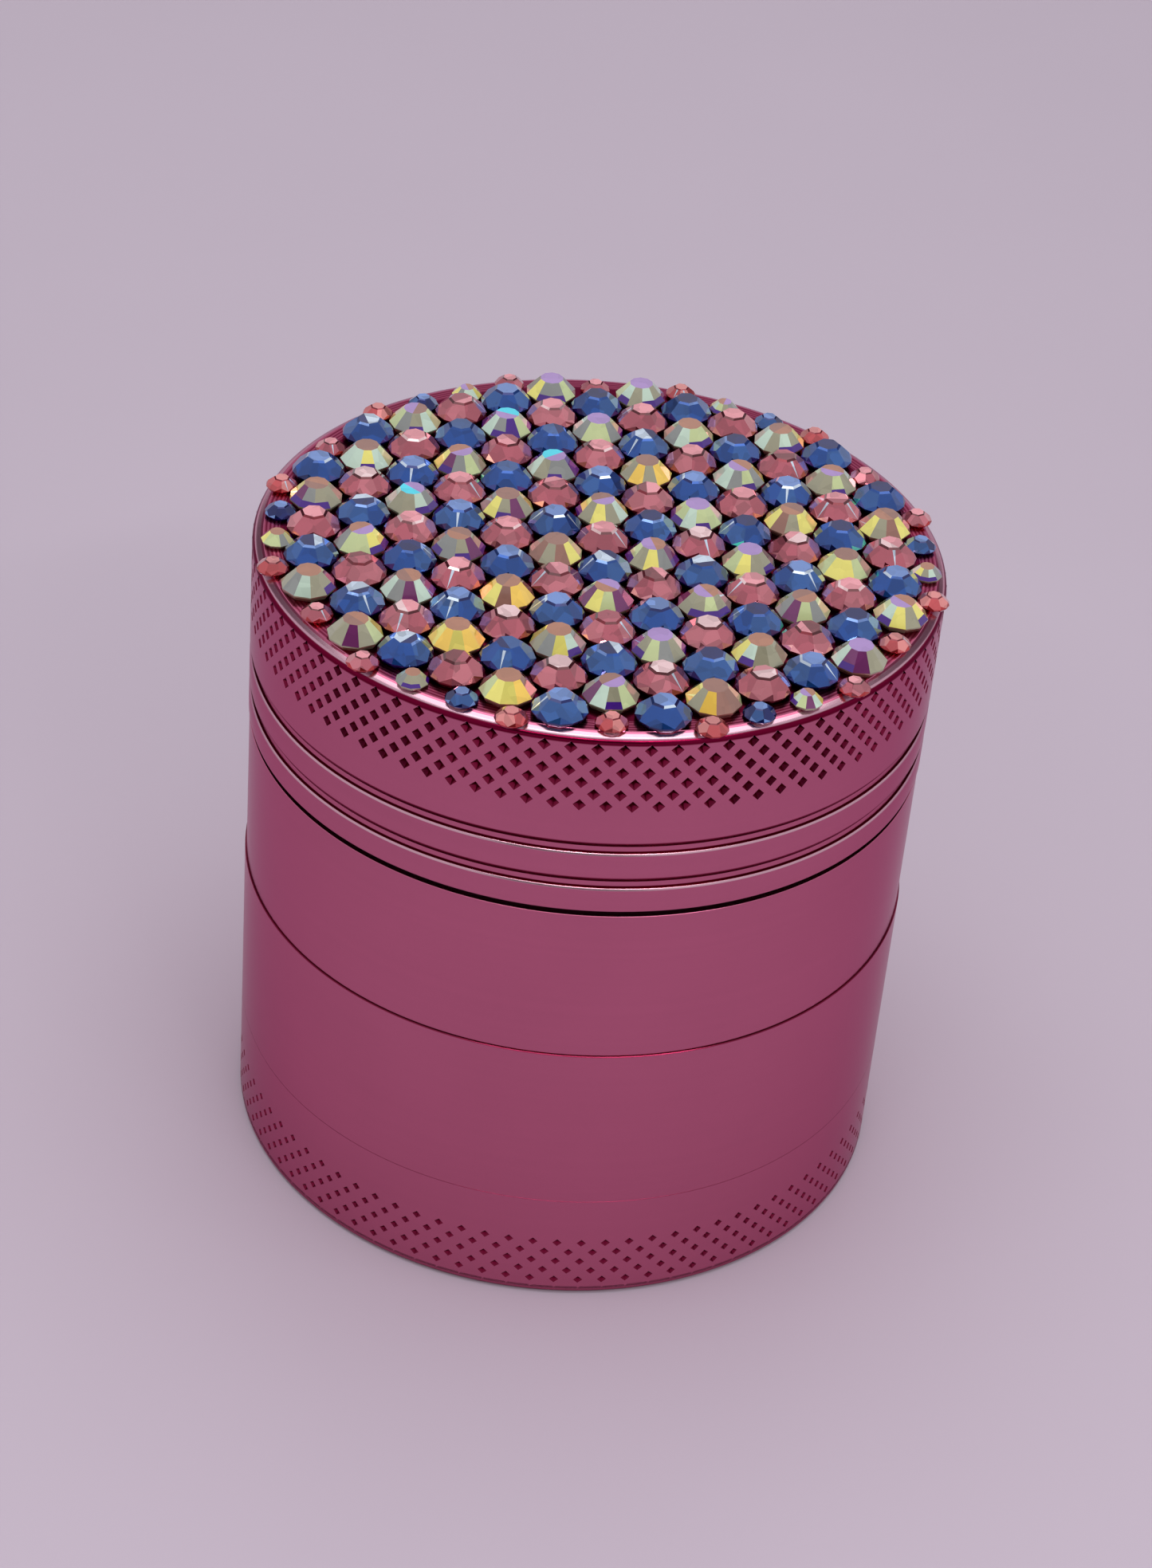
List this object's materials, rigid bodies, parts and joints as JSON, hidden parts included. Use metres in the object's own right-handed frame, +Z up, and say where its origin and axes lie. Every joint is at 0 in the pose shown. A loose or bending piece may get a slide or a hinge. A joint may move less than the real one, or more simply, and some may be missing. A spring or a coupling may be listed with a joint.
{
  "type": "herb grinder",
  "caption": "Pocket herb grinder: a screwed stack of turned metal cups with a magnetic toothed lid, knurled bands and a lid top covered with faceted stones.",
  "frame": {"origin": "centre of the flat foot, on the axis of the stack", "axes": "+Z up along the axis of the stack, -Y towards the front"},
  "size_m": [0.05, 0.0501, 0.0516],
  "materials": {
    "lid_anodised": "pink anodised, satin turned",
    "cup_anodised": "pink anodised, satin turned",
    "catcher_anodised": "pink anodised, satin turned",
    "steel_mesh": "fine woven wire",
    "spring_steel": "drawn wire",
    "magnet_nickel": "nickel plated",
    "black_nylon": "moulded",
    "rose_glass": "foiled, faceted",
    "blue_glass": "foiled, faceted",
    "crystal_glass": "foiled, faceted, rainbow coated"
  },
  "bodies": {
    "catcher": {"catcher": "catcher_anodised"},
    "screen_pack": {"screen": "steel_mesh", "screen_snap_ring": "spring_steel"},
    "storage_cup": {"storage_cup": "cup_anodised"},
    "chamber_magnet": {"chamber_magnet": "magnet_nickel"},
    "grinding_chamber": {"grinding_chamber": "cup_anodised", "chamber_floor": "cup_anodised", "chamber_teeth": "cup_anodised"},
    "friction_ring": {"friction_ring": "black_nylon"},
    "lid": {"lid": "lid_anodised", "lid_teeth": "lid_anodised", "lid_magnet": "magnet_nickel", "large_rose_stones": "rose_glass", "large_blue_stones": "blue_glass", "large_crystal_stones": "crystal_glass", "small_rose_stones": "rose_glass", "small_blue_stones": "blue_glass", "small_crystal_stones": "crystal_glass"}
  },
  "joints": [
    {"name": "storage_rise", "type": "slide", "parent": "catcher", "child": "screen_pack", "axis": [0, 0, 1], "range_m": [0, 0.003]},
    {"name": "storage_turn", "type": "hinge", "parent": "screen_pack", "child": "storage_cup", "pos_m": [0, 0, 0.0091], "axis": [0, 0, 1], "range_deg": [0, 720]},
    {"name": "chamber_rise", "type": "slide", "parent": "storage_cup", "child": "chamber_magnet", "axis": [0, 0, 1], "range_m": [0, 0.003]},
    {"name": "chamber_turn", "type": "hinge", "parent": "chamber_magnet", "child": "grinding_chamber", "pos_m": [0, 0, 0.0228], "axis": [0, 0, 1], "range_deg": [0, 720]},
    {"name": "lid_lift", "type": "slide", "parent": "grinding_chamber", "child": "friction_ring", "axis": [0, 0, 1], "range_m": [0, 0.03]},
    {"name": "lid_spin", "type": "hinge", "parent": "friction_ring", "child": "lid", "pos_m": [0, 0, 0.03551], "axis": [0, 0, 1], "continuous": true}
  ],
  "couplings": [
    {"joint": "storage_rise", "follows": "storage_turn", "m_per_rad": 0.00023873},
    {"joint": "chamber_rise", "follows": "chamber_turn", "m_per_rad": 0.00023873}
  ]
}
